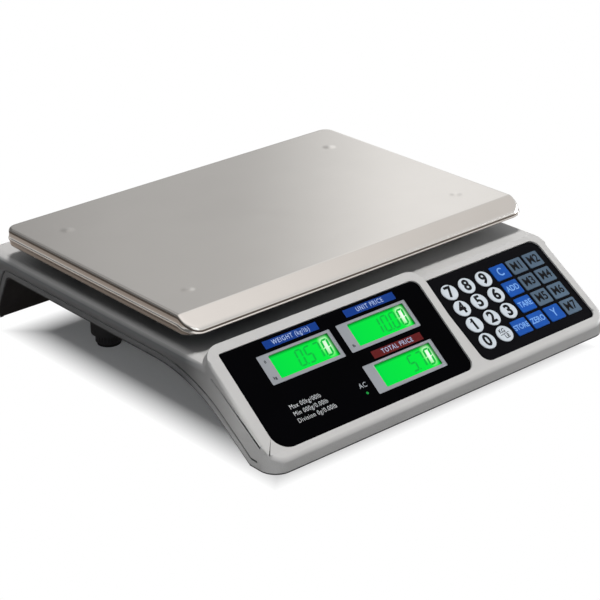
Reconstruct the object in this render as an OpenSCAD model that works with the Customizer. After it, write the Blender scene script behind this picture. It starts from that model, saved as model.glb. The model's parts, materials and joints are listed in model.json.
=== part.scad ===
// Retail price-computing scale with a stainless pan, a sloping operator console and a rear display.
// X runs to the operator's right, Y to the back and Z up. The table is at z = 0, and the origin is
// under the middle of the housing. All lengths are millimetres.

/* [Housing] */
// Width of the housing, left to right
body_w = 340; // [338:1:346]
// Depth over everything, front to back
body_d = 362; // [361:0.5:364]
// Height of the lower edge above the table
base_z = 14; // [13.8:0.1:14.2]
// Height of the deck under the pan
deck_z = 74.5; // [74.2:0.1:74.8]
// Wall thickness of the housing
wall = 2.6; // [2.4:0.1:2.7]
// Skin thickness of the base tray
tray_t = 2.4; // [2.2:0.1:2.5]

/* [Console] */
// Slope of the display panel, degrees
display_tilt = 38.3; // [38:0.1:38.6]
// Slope of the keypad panel, degrees
keypad_tilt = 32.8; // [32.5:0.1:33]
// Height of the two panels' lower edge above the table
panel_z = 27.1; // [27:0.1:27.4]
// How far the light rim stands above both panels
rim_h = 1.2; // [0.9:0.1:1.4]
// Thickness of the console wall, square to the slope
console_t = 4.4; // [4.3:0.1:4.5]

/* [Display] */
// Left edge of the display window
window_x0 = -159.4; // [-160:0.1:-159]
// Right edge of the display window
window_x1 = 29.5; // [29:0.1:30]
// Length of the display window along the slope
window_len = 82.4; // [82:0.1:82.8]
// Width of one liquid crystal module
lcd_w = 68; // [67:0.5:68]
// Height of one liquid crystal module
lcd_h = 24.2; // [23.6:0.1:24.4]

/* [Keypad] */
// Left edge of the keypad overlay
keypad_x0 = 40.5; // [40.2:0.1:41]
// Right edge of the keypad overlay
keypad_x1 = 162.4; // [162:0.1:162.8]
// Length of the keypad overlay along the slope
keypad_len = 80.8; // [80.4:0.1:81.2]
// Distance between key centres, left to right
key_pitch_x = 18.33; // [18.2:0.01:18.4]
// Distance between key centres, along the slope
key_pitch_y = 16.2; // [16.1:0.1:16.3]
// Diameter of a round key
round_key_d = 14.4; // [13.8:0.1:14.4]
// Width of a square key
square_key_w = 15.6; // [15:0.1:15.8]
// Height of a square key
square_key_h = 13.6; // [13:0.1:13.8]
// How far a key stands above the overlay
key_proud = 0.5; // [0.4:0.1:0.6]

/* [Pan] */
// Width of the pan
pan_w = 335; // [333:1:337]
// Height of the pan's top face above the table
pan_z = 100; // [99.8:0.1:101]
// Front edge of the pan
pan_y0 = -91; // [-92:0.5:-90.5]
// Rear edge of the pan
pan_y1 = 149; // [148:0.5:150]
// Depth of the pan's downturned side flange
pan_flange = 14; // [13:0.5:15]
// Thickness of the pan's sheet
pan_t = 0.8; // [0.7:0.1:1]

/* [Weighing] */
// Length of the load cell
cell_l = 130; // [129:1:131]
// Width of the load cell
cell_w = 30; // [28:1:30]
// Height of the load cell
cell_h = 22; // [21:0.5:22]
// Gap that lets the platform sink before it meets a stop
stop_gap = 0.8; // [0.7:0.1:0.9]

/* [Feet] */
// Radius of a levelling foot's knurled wheel
foot_r = 10.8; // [10.5:0.1:11]
// Radius of a levelling foot's stud
stud_r = 4; // [3.8:0.1:4]

/* [Hidden] */
$fn = 48;

// How far a cutter runs past the face it cuts
over = 1;
// Running clearance between a round shaft and its bore
fit = 0.08;
// Gap between two fixed parts that sit next to each other
gap = 0.3;

// Body outline
fitting_proud = 1.5;
front_y = -body_d / 2;
rear_y = body_d / 2 - fitting_proud;
side_x = body_w / 2;
front_corner_r = 14;
rear_corner_r = 20;
deck_edge_r = 8;

// Lower edge of both console panels, and the box that carries the display
panel_y = front_y + 6.8;
box_x1 = 36.5;
box_len = 90;
box_corner_r = 14;
box_depth = 14;
ledge = 3;
window_t = 2;
window_r = [14, 8, 7, 2];
overlay_t = 1.6;
keypad_r = [8, 6, 8, 2];

// Arch between the console and the rear leg, seen from the side
arch_z = 58.5;
arch_slope = 35;
arch_blend_r = 130;
arch_foot_y = front_y + 26;
arch_bend_y = arch_foot_y + (arch_z - base_z) / tan(arch_slope);
leg_foot_y = rear_y - 9;
leg_top_y = rear_y - 33;
leg_lean = atan2(arch_z - base_z, leg_foot_y - leg_top_y);
arch_corner_r = 7;
trim_gap = 0.8;
groove_drop = 5;
groove_w = 1.6;
groove_deep = 0.6;

// Belly of the tray, which holds the load cell and the battery
belly_z = 20;
belly_x_floor = 104;
belly_x_top = 164;
belly_y0 = -135;
belly_y1 = 140;
flank = atan2(arch_z - belly_z, belly_x_top - belly_x_floor);

// Display and keypad stacks, measured square to their panels
lcd_t = 6;
board_t = 1.6;
lcd_base_h = -window_t - lcd_t - 0.6;
lcd_places = [[-98.6, 58.6], [-24.4, 58.9], [-24.2, 22.7]];
lamp_place = [-67, 15];
lamp_r = 1.5;
keypad_board_h = -6.5;
switch_top_h = -4.5;

// Keys
key_x0 = 56;
key_s0 = 64.8;
key_flange = 0.9;
key_stem_r = 2.2;
key_stem_h = -4;
key_columns = 6;
key_rows = 4;

// Rear display
rear_half_w = 116;
rear_z0 = 28;
rear_z1 = 64;
rear_window_t = 1.6;
rear_recess = 1.8;
rear_lcd_pitch = 73;
rear_lcd_y = rear_y - wall - 0.3;
rear_board_y = rear_lcd_y - lcd_t;

// Power fittings in the rear wall
fitting_x = 134;
fitting_z = 50;
inlet_size = [20, 16];
switch_size = [13, 19];
rocker_size = [10, 16];
rocker_axis_y = rear_y - 1.8;
rocker_tilt = 7;
pivot_r = 0.8;
pivot_out = 1.2;

// Pan and the spider that carries it
pan_mid_y = (pan_y0 + pan_y1) / 2;
pan_bevel_run = 13;
pan_bevel_drop = 8;
pan_lip = 4.5;
pan_edge_r = 3;
pan_corner_r = 10;
rest_x = 132;
rest_y0 = -45;
rest_y1 = 108;
rest_r = 7;
rest_h = 7;
rest_z = pan_z - pan_t - rest_h;
spigot_r = 3;
spider_z = 77.5;
spider_t = 6;
arm_w = 18;
arm_rib = 5;
hub = [140, 44];

// Load cell stack
plate_t = 4;
lower_spacer_t = 5;
plate_z = belly_z + tray_t;
spacer_z = plate_z + plate_t;
cell_z = spacer_z + lower_spacer_t;
cell_top = cell_z + cell_h;
spacer_l = 34;
bolt_r = 3;
bolt_head_r = 5;
bolt_head_h = 3.4;
bolt_in = 7.5;
bolt_pitch = 15;
bolt_xs = [cell_l / 2 - bolt_in, cell_l / 2 - bolt_in - bolt_pitch];
stop_x = 105;
stop_r = 2.5;
stop_ys = [for (y = [rest_y0, rest_y1]) pan_mid_y + (y - pan_mid_y) * stop_x / rest_x];

// Battery, its door and the transformer
battery_size = [101, 70, 47];
battery_y = 98;
door_size = [112, 78];
door_screw_y = 34;
transformer_at = [-76, -28];

// Feet
foot_front = [120, front_y + 29];
foot_rear = [112, 96];
pad_h = 2.6;
pad_spigot = 3;
wheel_top = 9.5;
boss_z = 10.2;
boss_r = 14;
column_r = 7;
front_column_z = 25;
rear_column_z = 36;
stud_top = 24;
knurls = 24;
knurl_r = 0.9;

// Screws that hold the tray to the housing
screw_front = [150, front_y + 15];
screw_mid = [140, -20];
screw_rear = [140, 124];
screw_r = 1.5;
screw_head_r = 3;
screw_head_h = 2;
screw_boss_r = 6;
post_r = 4;
front_seat_z = 20;
flank_seat_z = 52;
seat_t = 3;

// ---------- Shared shapes ----------

// The part of a corner square that lies outside its quarter circle, turned about the corner.
module corner_cut(x, y, turn, r)
  translate([x, y]) rotate(turn) difference() {
    translate([-over, -over]) square(r + over);
    translate([r, r]) circle(r);
  }

// Plate outline with a radius for each corner, from the lower left, counter-clockwise.
module plate_2d(x0, x1, y0, y1, r)
  difference() {
    translate([x0, y0]) square([x1 - x0, y1 - y0]);
    corners = [[x0, y0], [x1, y0], [x1, y1], [x0, y1]];
    for (i = [0 : 3]) if (r[i] > 0) corner_cut(corners[i][0], corners[i][1], 90 * i, r[i]);
  }

// Places children on a console panel: x across, y up the slope, z out of the panel.
module on_panel(tilt)
  translate([0, panel_y, panel_z]) rotate([tilt, 0, 0]) children();

// Extrudes a side view (y, z) across the object, from x0 to x1.
module across(x0, x1)
  translate([x0, 0, 0]) rotate([90, 0, 90]) linear_extrude(x1 - x0) children();

// Extrudes a front view (x, z) from y0 back to y1.
module along(y0, y1)
  translate([0, y1, 0]) rotate([90, 0, 0]) linear_extrude(y1 - y0) children();

// Children on the right, and their mirror image on the left.
module both_sides() {
  children();
  mirror([1, 0, 0]) children();
}

// Upright cylinder at a plan position.
module peg(p, z0, z1, r)
  translate([p[0], p[1], z0]) cylinder(h = z1 - z0, r = r);

// Round rod between two points.
module rod(a, b, r) {
  d = b - a;
  translate(a) rotate([0, acos(d[2] / norm(d)), atan2(d[1], d[0])])
    cylinder(h = norm(d), r = r, $fn = 8);
}

// Cable: rods between points, with a slightly larger ball at each bend.
module cable(points, r) {
  for (i = [0 : len(points) - 2]) rod(points[i], points[i + 1], r);
  for (i = [1 : len(points) - 2]) translate(points[i]) sphere(1.2 * r, $fn = 8);
}

// ---------- Body outlines ----------

// Height at depth y of a sloping face that lies h above a console panel.
function slope_z(y, tilt, h) = panel_z + (y - panel_y) * tan(tilt) + h / cos(tilt);
// Depth at which that face reaches height z.
function slope_y(z, tilt, h) = panel_y + (z - panel_z - h / cos(tilt)) / tan(tilt);

// Side view of the body without the display box, shrunk by inset and, on the slope, by slope_inset.
module side_2d(inset, slope_inset, low) {
  h = rim_h - slope_inset;
  y0 = front_y + inset;
  y1 = rear_y - inset;
  top = deck_z - inset;
  difference() {
    polygon([
      [y0, low], [y1, low], [y1, top],
      [slope_y(top, keypad_tilt, h), top], [y0, slope_z(y0, keypad_tilt, h)]
    ]);
    corner_cut(y1, top, 180, deck_edge_r - inset);
  }
}

// Plan view of the body.
module plan_2d(inset)
  plate_2d(-side_x + inset, side_x - inset, front_y + inset, rear_y - inset,
    [for (r = [front_corner_r, front_corner_r, rear_corner_r, rear_corner_r]) r - inset]);

// Body without the display box: side view, front view and plan crossed with each other.
module body_form(inset, slope_inset, low)
  intersection() {
    across(-side_x, side_x) side_2d(inset, slope_inset, low);
    along(front_y, rear_y) plate_2d(-side_x + inset, side_x - inset, low, deck_z - inset,
      [0, 0, deck_edge_r - inset, deck_edge_r - inset]);
    translate([0, 0, low]) linear_extrude(deck_z) plan_2d(inset);
  }

// Display box on the console: top_h is its face and depth how far it reaches down.
module box_form(inset, top_h, depth)
  intersection() {
    on_panel(display_tilt) translate([0, 0, top_h - depth]) linear_extrude(depth)
      plate_2d(-side_x + inset, box_x1 - inset, -2 * deck_edge_r, box_len - inset,
        [0, 0, box_corner_r - inset, box_corner_r - inset]);
    translate([0, 0, base_z]) linear_extrude(deck_z) plan_2d(inset);
  }

// Side view of all the space under the body: the arch, and everything below the lower edge.
// Every line and arc stands grow further out than the arch itself.
module below_2d(grow = 0) {
  blend_at = [arch_bend_y + arch_blend_r * tan(arch_slope / 2), arch_z - arch_blend_r];
  corner_at = [leg_top_y - arch_corner_r * tan(leg_lean / 2), arch_z - arch_corner_r];
  leg_y = leg_foot_y + grow / sin(leg_lean);
  foot_y = arch_foot_y - grow / sin(arch_slope);
  corner = [for (i = [8 : -1 : 0])
    corner_at + (arch_corner_r + grow) * [sin(i * leg_lean / 8), cos(i * leg_lean / 8)]];
  blend = [for (a = [0 : 5 : arch_slope])
    blend_at + (arch_blend_r + grow) * [-sin(a), cos(a)]];
  translate([-body_d, base_z + grow - body_d]) square([2 * body_d, body_d]);
  polygon(concat(
    [[leg_y, base_z - over], [leg_y, base_z]], corner, blend,
    [[foot_y, base_z], [foot_y, base_z - over]]
  ));
}

// Styling groove that follows the arch.
module groove_2d()
  intersection() {
    difference() {
      below_2d(groove_drop + groove_w);
      below_2d(groove_drop);
    }
    translate([arch_foot_y - 8, base_z + 3]) square([body_d, deck_z]);
    translate([-body_d, 0]) square([body_d + leg_foot_y + 3, deck_z]);
  }

// ---------- Housing ----------

// Recess for a panel, and the opening behind it that leaves a ledge all round.
module panel_hole(x0, x1, len, r, recess, depth) {
  translate([0, 0, -recess]) linear_extrude(recess + rim_h + over) plate_2d(x0, x1, 0, len, r);
  translate([0, 0, -depth]) linear_extrude(depth)
    plate_2d(x0 + ledge, x1 - ledge, ledge, len - ledge, [for (c = r) max(c - ledge, 1)]);
}

module screw_posts()
  intersection() {
    both_sides() {
      peg(screw_front, front_seat_z, deck_z, post_r);
      peg(screw_mid, flank_seat_z, deck_z, post_r);
      peg(screw_rear, flank_seat_z, deck_z, post_r);
    }
    body_form(1, console_t - 1, base_z);
  }

module screw_bores()
  both_sides() {
    peg(screw_front, base_z, front_seat_z + 4, screw_r + fit);
    peg(screw_mid, base_z, flank_seat_z + 12, screw_r + fit);
    peg(screw_rear, base_z, flank_seat_z + 12, screw_r + fit);
  }

// Recess and opening for the rear display.
module rear_window_cut() {
  along(rear_y - rear_recess, rear_y + over)
    plate_2d(-rear_half_w, rear_half_w, rear_z0, rear_z1, [3, 3, 3, 3]);
  along(rear_y - wall - over, rear_y)
    plate_2d(ledge - rear_half_w, rear_half_w - ledge, rear_z0 + ledge, rear_z1 - ledge,
      [1, 1, 1, 1]);
}

// Openings for the mains inlet and the power switch.
module fitting_cuts() {
  centred_block(fitting_x, inlet_size, rear_y - wall - over, rear_y + over, gap / 2);
  centred_block(-fitting_x, switch_size, rear_y - wall - over, rear_y + over, gap / 2);
}

// Block through the rear wall, grown by a margin on each side.
module centred_block(x, size, y0, y1, margin)
  along(y0, y1) translate([x - size[0] / 2 - margin, fitting_z - size[1] / 2 - margin])
    square([size[0] + 2 * margin, size[1] + 2 * margin]);

module deck_cuts() {
  translate([cell_l / 2 - spacer_l - 4, pan_mid_y - cell_w / 2 - 4, deck_z - wall - over])
    cube([spacer_l + 8, cell_w + 8, wall + 2 * over]);
  for (x = [-stop_x, stop_x], y = stop_ys)
    peg([x, y], deck_z - wall - over, deck_z + over, stop_r + fit);
}

module upper_housing() color("gainsboro")
  difference() {
    union() {
      difference() {
        union() {
          body_form(0, 0, base_z);
          box_form(0, rim_h, box_depth);
        }
        body_form(wall, console_t, base_z - over);
        box_form(wall, rim_h - console_t, 3 * box_depth);
      }
      screw_posts();
    }
    across(-side_x - over, side_x + over) below_2d(trim_gap);
    both_sides() across(side_x - groove_deep, side_x + over) groove_2d();
    on_panel(display_tilt)
      panel_hole(window_x0, window_x1, window_len, window_r, window_t, box_depth);
    on_panel(keypad_tilt)
      panel_hole(keypad_x0, keypad_x1, keypad_len, keypad_r, overlay_t, 2 * console_t);
    rear_window_cut();
    fitting_cuts();
    deck_cuts();
    screw_bores();
  }

// ---------- Base tray ----------

// Half width of the belly at height z, shrunk by inset.
function belly_x(z, inset) = belly_x_floor + (z - belly_z) / tan(flank) - inset / sin(flank);

// Cross-section of the belly from its floor up to top.
module belly_2d(inset, top) {
  low = belly_z + inset;
  polygon([
    [-belly_x(low, inset), low], [belly_x(low, inset), low],
    [belly_x(top, inset), top], [-belly_x(top, inset), top]
  ]);
}

// Everything below the upper face of the tray's skin.
module under_skin()
  across(-side_x, side_x) below_2d(tray_t);

module foot_bosses()
  both_sides() {
    intersection() {
      peg(foot_front, boss_z, deck_z, boss_r);
      across(-side_x, side_x) below_2d(tray_t / 2);
    }
    peg(foot_front, boss_z, front_column_z, column_r);
    peg(foot_rear, boss_z, rear_column_z, boss_r);
  }

module screw_bosses()
  both_sides() {
    peg(screw_front, base_z, front_seat_z, screw_boss_r);
    intersection() {
      union() {
        peg(screw_mid, belly_z, flank_seat_z, screw_boss_r);
        peg(screw_rear, belly_z, flank_seat_z, screw_boss_r);
      }
      along(belly_y0, belly_y1) belly_2d(tray_t / 2, deck_z);
    }
  }

// Hole for a screw's shank, and the recess for its head.
module screw_hole(p, seat) {
  peg(p, 0, seat + over, screw_r + fit);
  peg(p, 0, seat - seat_t, screw_head_r + gap);
}

// Skin that follows the arch, with the belly hanging below it.
module tray_shell()
  difference() {
    under_skin();
    difference() {
      across(-side_x - over, side_x + over) below_2d();
      along(belly_y0, belly_y1) belly_2d(0, deck_z);
    }
    along(belly_y0 + tray_t, belly_y1 - tray_t) belly_2d(tray_t, deck_z);
  }

module base_tray() color("dimgray")
  difference() {
    intersection() {
      union() {
        tray_shell();
        foot_bosses();
        screw_bosses();
      }
      linear_extrude(deck_z) plan_2d(wall + gap);
    }
    both_sides() {
      peg(foot_front, 0, front_column_z + over, stud_r + fit);
      peg(foot_rear, 0, rear_column_z - 3, stud_r + fit);
      screw_hole(screw_front, front_seat_z);
      screw_hole(screw_mid, flank_seat_z);
      screw_hole(screw_rear, flank_seat_z);
    }
    translate([-door_size[0] / 2, battery_y - door_size[1] / 2, 0])
      cube([door_size[0], door_size[1], plate_z + over]);
    for (x = bolt_xs) peg([-x, pan_mid_y], 0, plate_z + over, bolt_r + fit);
  }

module battery_door() color("darkslategray")
  difference() {
    translate([0, battery_y, belly_z]) union() {
      translate([-door_size[0] / 2 + gap, -door_size[1] / 2 + gap, 0])
        cube([door_size[0] - 2 * gap, door_size[1] - 2 * gap, tray_t - 0.1]);
      for (x = [-40 : 10 : 40]) translate([x - 1, -18, -0.8]) cube([2, 36, 1.6]);
    }
    peg([0, battery_y + door_screw_y], belly_z - over, belly_z + tray_t + over, screw_r + fit);
  }

module housing_screws() color("silver")
  both_sides() {
    housing_screw(screw_front, front_seat_z, 3.5);
    housing_screw(screw_mid, flank_seat_z, 10);
    housing_screw(screw_rear, flank_seat_z, 10);
  }

// Pan-head screw seated under a boss, with its shank going up into a post.
module housing_screw(p, seat, grip) {
  peg(p, seat - seat_t - screw_head_h, seat - seat_t, screw_head_r);
  peg(p, seat - seat_t, seat + grip, screw_r);
}

// ---------- Console parts ----------

module display_window() color("black")
  on_panel(display_tilt) translate([0, 0, -window_t]) linear_extrude(window_t)
    plate_2d(window_x0 + gap, window_x1 - gap, gap, window_len - gap,
      [for (r = window_r) r - gap]);

module lcd_module()
  translate([-lcd_w / 2, -lcd_h / 2, 0]) cube([lcd_w, lcd_h, lcd_t]);

// Three modules behind the operator's window and three behind the customer's.
module lcd_modules() color("lime") {
  on_panel(display_tilt)
    for (p = lcd_places) translate([p[0], p[1], lcd_base_h]) lcd_module();
  for (i = [-1 : 1]) translate([i * rear_lcd_pitch, rear_lcd_y, (rear_z0 + rear_z1) / 2])
    rotate([90, 0, 0]) lcd_module();
}

module charge_lamp() color("limegreen")
  on_panel(display_tilt) translate([lamp_place[0], lamp_place[1], lcd_base_h]) {
    cylinder(h = 1, r = lamp_r + 0.4);
    cylinder(h = lcd_t - lamp_r, r = lamp_r);
    translate([0, 0, lcd_t - lamp_r]) sphere(lamp_r);
  }

// Main board behind the display, with its parts on the lower face.
module main_board() color("darkgreen")
  on_panel(display_tilt) translate([0, 0, lcd_base_h - board_t]) {
    translate([-138, 8, 0]) cube([154, 66, board_t]);
    for (x = [-120, -96, -20]) translate([x, 62, -5]) cube([16, 7, 5]);
    translate([-74, 44, -3]) cube([22, 22, 3]);
    translate([-40, 55, -6]) cylinder(h = 6, r = 6);
    for (x = [-10, 4]) translate([x, 48, -5]) cylinder(h = 5, r = 4);
  }

// Position of a key on the keypad panel.
function key_x(column) = key_x0 + column * key_pitch_x;
function key_s(row) = key_s0 - row * key_pitch_y;

// The first three columns hold round keys, except at the foot of the third column.
function is_round(column, row) = column < 3 && !(column == 2 && row == 3);

// Outline of a key, grown by a margin.
module key_2d(column, row, margin)
  translate([key_x(column), key_s(row)])
    if (is_round(column, row)) circle(round_key_d / 2 + margin);
    else plate_2d(-square_key_w / 2 - margin, square_key_w / 2 + margin,
      -square_key_h / 2 - margin, square_key_h / 2 + margin, [for (i = [0 : 3]) 1 + margin]);

module keypad_overlay() color("black")
  on_panel(keypad_tilt) translate([0, 0, -overlay_t]) linear_extrude(overlay_t)
    difference() {
      plate_2d(keypad_x0 + gap, keypad_x1 - gap, gap, keypad_len - gap,
        [for (r = keypad_r) r - gap]);
      for (c = [0 : key_columns - 1], r = [0 : key_rows - 1]) key_2d(c, r, 0.15);
    }

// One key: its cap, the flange that holds it under the overlay, and the stem over the switch.
module key(column, row) {
  shade = is_round(column, row) ? "lightgray" : column < 4 || row == 3 && column < 5
    ? "royalblue" : "slategray";
  color(shade) on_panel(keypad_tilt) {
    translate([0, 0, -overlay_t - 0.2]) linear_extrude(overlay_t + 0.2 + key_proud)
      key_2d(column, row, 0);
    translate([0, 0, -overlay_t - 1]) linear_extrude(0.8) key_2d(column, row, key_flange);
    translate([key_x(column), key_s(row), key_stem_h])
      cylinder(h = -overlay_t - key_stem_h, r = key_stem_r);
  }
}

// Keypad board with one switch under each key.
module keypad_board() color("darkgreen")
  on_panel(keypad_tilt) {
    translate([keypad_x0 + 4, 8, keypad_board_h - board_t])
      cube([keypad_x1 - keypad_x0 - 8, 66, board_t]);
    for (c = [0 : key_columns - 1], r = [0 : key_rows - 1])
      translate([key_x(c), key_s(r), keypad_board_h]) {
        translate([-3, -3, 0]) cube([6, 6, 1.4]);
        cylinder(h = switch_top_h - keypad_board_h, r = 1.6);
      }
  }

// ---------- Rear display and power fittings ----------

module rear_window() color("black")
  along(rear_y - rear_recess, rear_y - rear_recess + rear_window_t)
    plate_2d(-rear_half_w + gap, rear_half_w - gap, rear_z0 + gap, rear_z1 - gap,
      [for (i = [0 : 3]) 3 - gap]);

module rear_display_board() color("darkgreen")
  translate([-rear_half_w + 4, rear_board_y - board_t, rear_z0 + 4]) {
    cube([2 * rear_half_w - 8, board_t, rear_z1 - rear_z0 - 8]);
    for (x = [30, 178]) translate([x, -4, 10]) cube([14, 4, 8]);
  }

module power_inlet() color("dimgray")
  difference() {
    union() {
      centred_block(fitting_x, inlet_size, rear_y - 14, rear_y, 0);
      centred_block(fitting_x, inlet_size, rear_y, rear_y + fitting_proud, 2.5);
    }
    difference() {
      along(rear_y - 9, rear_y + 2 * over) plate_2d(fitting_x - 7.8, fitting_x + 7.8,
        fitting_z - 4.3, fitting_z + 4.3, [for (i = [0 : 3]) 4.2]);
      for (x = [-3.6, 3.6]) translate([fitting_x + x, rear_y - 1, fitting_z])
        rotate([90, 0, 0]) cylinder(h = 9, r = 1.2);
    }
  }

// Pivot across the switch, which stands out past each side of the rocker.
module switch_pivot(r, out)
  translate([-fitting_x - rocker_size[0] / 2 - out, rocker_axis_y, fitting_z])
    rotate([0, 90, 0]) cylinder(h = rocker_size[0] + 2 * out, r = r);

module switch_frame() color("black")
  difference() {
    union() {
      centred_block(-fitting_x, switch_size, rear_y - 13, rear_y, 0);
      centred_block(-fitting_x, switch_size, rear_y, rear_y + 1, 1.2);
    }
    centred_block(-fitting_x, rocker_size, rear_y - 8, rear_y + 2, 0.5);
    switch_pivot(pivot_r + fit, pivot_out + fit);
  }

// Rocker tilted to its off position, on its pivot.
module switch_rocker() color("firebrick") {
  translate([0, rocker_axis_y, fitting_z]) rotate([-rocker_tilt, 0, 0])
    across(-fitting_x - rocker_size[0] / 2, -fitting_x + rocker_size[0] / 2)
      polygon([
        [-3, -5], [0, -rocker_size[1] / 2], [2.2, -rocker_size[1] / 2], [0.9, 0],
        [2.2, rocker_size[1] / 2], [0, rocker_size[1] / 2], [-3, 5]
      ]);
  switch_pivot(pivot_r, pivot_out);
}

module battery() color("darkgray")
  translate([0, battery_y, plate_z]) {
    translate([-battery_size[0] / 2, -battery_size[1] / 2, 0]) cube(battery_size - [0, 0, 5]);
    translate([-battery_size[0] / 2 + 1, -battery_size[1] / 2 + 1, 0])
      cube(battery_size - [2, 2, 2]);
    for (y = [-24, 10]) translate([-battery_size[0] / 2 - 6, y, 30]) cube([6.5, 5, 0.8]);
  }

module transformer() color("peru")
  translate([transformer_at[0], transformer_at[1], plate_z]) {
    translate([-20, -6, 0]) cube([40, 12, 34]);
    translate([-12, -15, 6]) cube([24, 30, 22]);
    for (x = [-23, 19]) translate([x, -6, 0]) cube([4, 12, 1.2]);
  }

// Cables: load cell, rear display, battery, keypad and mains.
module wiring_loom() color("dimgray") {
  plug_y = rear_board_y - board_t - 2;
  cable([[-70, -98, 58], [-83, -70, 62], [-83, 0, 60], [-74, pan_mid_y, 46],
    [-cell_l / 2, pan_mid_y, 46]], 1.6);
  cable([[-98, -96, 60], [-98, -50, 67], [-98, 120, 67], [-75, plug_y, 64],
    [-75, plug_y, 50]], 1.8);
  cable([[-59, 75, 52], [-66, 60, 56], [-52, 40, 56.5], [-52, -50, 56.5], [-55, -95, 52]], 1.4);
  cable([[20, -112, 52], [34, -108, 50], [60, -112, 51]], 1.8);
  cable([[fitting_x, rear_y - 14, fitting_z], [fitting_x, 160, fitting_z], [fitting_x, 157, 65],
    [110, 128, 65], [78, 60, 62], [76, -8, 62], [20, -24, 61], [-60, -28, 61],
    [-76, -28, 62], [-76, -28, plate_z + 34]], 2);
}

// ---------- Weighing parts ----------

// Side view of the pan's skin, measured in from the outside by inset.
module pan_side_2d(inset) {
  low = pan_z - pan_flange;
  top = pan_z - inset;
  y1 = pan_y1 - inset;
  nose = [pan_y0 + inset, pan_z - pan_bevel_drop - inset];
  difference() {
    polygon([
      [nose[0] + 1, nose[1] - pan_lip - over * sign(inset)], nose,
      [pan_y0 + pan_bevel_run + inset / 2, top], [y1, top],
      [y1, low - over * sign(inset)], [pan_y0 + 20, low - over * sign(inset)]
    ]);
    corner_cut(y1, top, 180, pan_edge_r - inset);
  }
}

module pan_form(inset)
  intersection() {
    across(-pan_w, pan_w) pan_side_2d(inset);
    along(pan_y0 - over, pan_y1 + over)
      plate_2d(-pan_w / 2 + inset, pan_w / 2 - inset, pan_z - 2 * pan_flange, pan_z - inset,
        [0, 0, pan_edge_r - inset, pan_edge_r - inset]);
    linear_extrude(2 * pan_z) plate_2d(-pan_w / 2 + inset, pan_w / 2 - inset,
      pan_y0 + inset, pan_y1 - inset, [for (i = [0 : 3]) pan_corner_r - inset]);
  }

module pan() color("silver")
  difference() {
    pan_form(0);
    pan_form(pan_t);
  }

// Places children at the four rests.
module at_rests()
  for (x = [-rest_x, rest_x], y = [rest_y0, rest_y1]) translate([x, y, 0]) children();

// Height at which the rubber rests stand on the spider's posts.

// Direction of a rest from the hub's middle, and its distance.
function arm_turn(x, y) = atan2(y - pan_mid_y, x);
function arm_len(x, y) = norm([x, y - pan_mid_y]);

// Plan of the spider: hub, four arms and a disc at each rest.
module spider_2d() {
  plate_2d(-hub[0] / 2, hub[0] / 2, pan_mid_y - hub[1] / 2, pan_mid_y + hub[1] / 2,
    [for (i = [0 : 3]) 6]);
  for (x = [-rest_x, rest_x], y = [rest_y0, rest_y1]) {
    translate([0, pan_mid_y]) rotate(arm_turn(x, y)) translate([0, -arm_w / 2])
      square([arm_len(x, y), arm_w]);
    translate([x, y]) circle(12);
  }
}

module pan_spider() color("lightslategray")
  difference() {
    union() {
      translate([0, 0, spider_z]) linear_extrude(spider_t) spider_2d();
      for (x = [-rest_x, rest_x], y = [rest_y0, rest_y1])
        translate([0, pan_mid_y, spider_z + 1]) rotate(arm_turn(x, y))
          translate([75, -1.5, 0]) cube([arm_len(x, y) - 78, 3, spider_t + arm_rib]);
      at_rests() {
        translate([0, 0, spider_z + 1]) cylinder(h = rest_z - spider_z - 1, r = 6.5);
        translate([0, 0, rest_z - 1]) cylinder(h = 4, r = spigot_r);
      }
    }
    for (x = bolt_xs) peg([x, pan_mid_y], spider_z - over, rest_z, bolt_r + fit);
  }

module pan_rests() color("black")
  at_rests() translate([0, 0, rest_z]) difference() {
    cylinder(h = rest_h, r = rest_r);
    translate([0, 0, -over]) cylinder(h = 3.2 + over, r = spigot_r + 0.05);
  }

module upper_spacer() color("silver")
  difference() {
    translate([cell_l / 2 - spacer_l, pan_mid_y - cell_w / 2, cell_top])
      cube([spacer_l, cell_w, spider_z - cell_top]);
    for (x = bolt_xs) peg([x, pan_mid_y], cell_top - over, spider_z + over, bolt_r + fit);
  }

module spider_bolts() color("dimgray")
  for (x = bolt_xs) {
    peg([x, pan_mid_y], cell_top - 12, spider_z + spider_t, bolt_r);
    peg([x, pan_mid_y], spider_z + spider_t, spider_z + spider_t + bolt_head_h, bolt_head_r);
  }

// Single-point load cell with its two joined bores.
module load_cell() color("silver")
  difference() {
    translate([-cell_l / 2, pan_mid_y - cell_w / 2, cell_z]) cube([cell_l, cell_w, cell_h]);
    along(pan_mid_y - cell_w, pan_mid_y + cell_w) translate([0, cell_z + cell_h / 2]) {
      for (x = [-13, 13]) translate([x, 0]) circle(cell_h / 2 - 2);
      square([26, 8], center = true);
    }
    for (x = bolt_xs) peg([x, pan_mid_y], cell_top - 14, cell_top + over, bolt_r + fit);
    for (x = bolt_xs) peg([-x, pan_mid_y], cell_z - over, cell_z + 14, bolt_r + fit);
  }

module lower_spacer() color("silver")
  difference() {
    translate([-cell_l / 2, pan_mid_y - cell_w / 2, spacer_z])
      cube([spacer_l, cell_w, lower_spacer_t]);
    for (x = bolt_xs) peg([-x, pan_mid_y], spacer_z - over, cell_z + over, bolt_r + fit);
  }

module load_cell_bolts() color("dimgray")
  for (x = bolt_xs) {
    peg([-x, pan_mid_y], belly_z - bolt_head_h, belly_z, bolt_head_r);
    peg([-x, pan_mid_y], belly_z, cell_z + 12, bolt_r);
  }

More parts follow.
